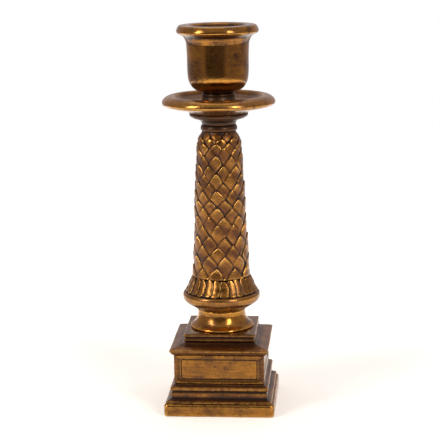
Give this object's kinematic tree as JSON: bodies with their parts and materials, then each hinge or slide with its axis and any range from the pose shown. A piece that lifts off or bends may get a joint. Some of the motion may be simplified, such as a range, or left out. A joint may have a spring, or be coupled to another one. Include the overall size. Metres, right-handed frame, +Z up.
{
  "type": "altar candlestick",
  "caption": "Small brass altar candlestick: candle cup and drip pan on a scaled palm-trunk column with a leaf collar, on a square stepped plinth, held by a tie rod.",
  "frame": {"origin": "centre of the underside of the square slab", "axes": "+Z up along the column and the candle, +X and +Y square to the faces of the plinth"},
  "size_m": [0.052, 0.052, 0.1774],
  "materials": {
    "polished_brass": "worn, softly polished old brass with brown tarnish",
    "antique_brass": "chased old brass, bright on raised edges, reddish brown patina in the recesses",
    "dark_brass": "dark brown patina",
    "steel": "plain, dulled"
  },
  "bodies": {
    "stand": {"drip_pan": "polished_brass", "pan_seat_ring": "dark_brass", "capital": "dark_brass", "neck_ring": "antique_brass", "palm_column": "antique_brass", "leaf_collar": "antique_brass", "base_torus": "polished_brass", "column_foot": "polished_brass", "plinth_cap": "polished_brass", "plinth_cornice": "polished_brass", "plinth_die": "antique_brass", "base_moulding": "antique_brass", "plinth_slab": "polished_brass", "tie_rod": "steel", "bridge_plate": "antique_brass", "rod_nut": "steel"},
    "collar": {"cup_collar": "polished_brass"},
    "cup": {"candle_cup": "polished_brass"}
  },
  "joints": [
    {"name": "cup_rise", "type": "slide", "parent": "stand", "child": "collar", "axis": [0, 0, 1], "range_m": [0, 0.00635]},
    {"name": "cup_turn", "type": "hinge", "parent": "collar", "child": "cup", "pos_m": [0, 0, 0.15], "axis": [0, 0, 1], "range_deg": [0, 1800]}
  ],
  "couplings": [
    {"joint": "cup_rise", "follows": "cup_turn", "m_per_rad": 0.00020213}
  ]
}
